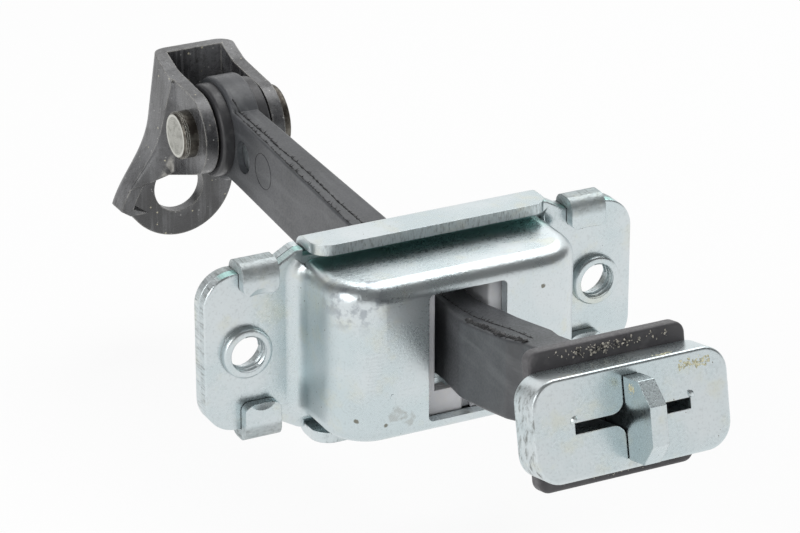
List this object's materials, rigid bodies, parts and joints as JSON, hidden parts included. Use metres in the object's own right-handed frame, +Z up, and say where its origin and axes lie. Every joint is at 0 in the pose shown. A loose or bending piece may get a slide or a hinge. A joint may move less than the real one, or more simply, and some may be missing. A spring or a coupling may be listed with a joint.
{
  "type": "door check strap",
  "caption": "Door check strap: a plastic-covered steel arm slides through a crimped steel housing with spring-loaded brake shoes, between a pillar bracket and a rubber-backed stop plate.",
  "frame": {"origin": "midway between the two tapped holes, on the joint plane between base plate and cover", "axes": "+X along the pivot pin and the hole pitch, +Y towards the door pillar, +Z up"},
  "size_m": [0.085, 0.1841, 0.0435],
  "materials": {
    "zinc_steel": "bright zinc plating, satin",
    "black_steel": "black dip coating, worn pale at the edges",
    "pin_steel": "oiled bare steel",
    "spring_steel": "oil-tempered wire",
    "arm_plastic": "satin moulded plastic",
    "bush_plastic": "satin moulded plastic",
    "shoe_plastic": "natural moulded plastic",
    "rubber": "matt black rubber"
  },
  "bodies": {
    "housing": {"base_plate": "zinc_steel", "housing_cover": "zinc_steel", "spring_seat_left": "shoe_plastic", "spring_upper_left": "spring_steel", "spring_lower_left": "spring_steel", "spring_seat_right": "shoe_plastic", "spring_upper_right": "spring_steel", "spring_lower_right": "spring_steel"},
    "shoe_left": {"brake_shoe_left": "shoe_plastic"},
    "shoe_right": {"brake_shoe_right": "shoe_plastic"},
    "arm": {"arm_core": "zinc_steel", "arm_sleeve": "arm_plastic", "bumper": "rubber", "end_plate": "zinc_steel", "pivot_bush_left": "bush_plastic", "pivot_bush_right": "bush_plastic"},
    "bracket": {"pivot_bracket": "black_steel", "pivot_pin": "pin_steel"}
  },
  "joints": [
    {"name": "arm_travel", "type": "hinge", "parent": "housing", "child": "arm", "pos_m": [0, 0.008, 0.365], "axis": [1, 0, 0], "range_deg": [-8.1, 7.35]},
    {"name": "shoe_left_slide", "type": "slide", "parent": "housing", "child": "shoe_left", "axis": [-1, 0, 0], "range_m": [-0.0012, 0.001], "deforming": ["spring_upper_left", "spring_lower_left"]},
    {"name": "shoe_right_slide", "type": "slide", "parent": "housing", "child": "shoe_right", "axis": [1, 0, 0], "range_m": [-0.0012, 0.001], "deforming": ["spring_upper_right", "spring_lower_right"]},
    {"name": "bracket_pivot", "type": "hinge", "parent": "arm", "child": "bracket", "pos_m": [0, 0.0809, 0.0067], "axis": [1, 0, 0], "range_deg": [-60, 60]}
  ],
  "couplings": [
    {"joint": "shoe_left_slide", "follows": "arm_travel", "m_per_rad": 0.007116},
    {"joint": "shoe_right_slide", "follows": "arm_travel", "m_per_rad": 0.007116}
  ]
}
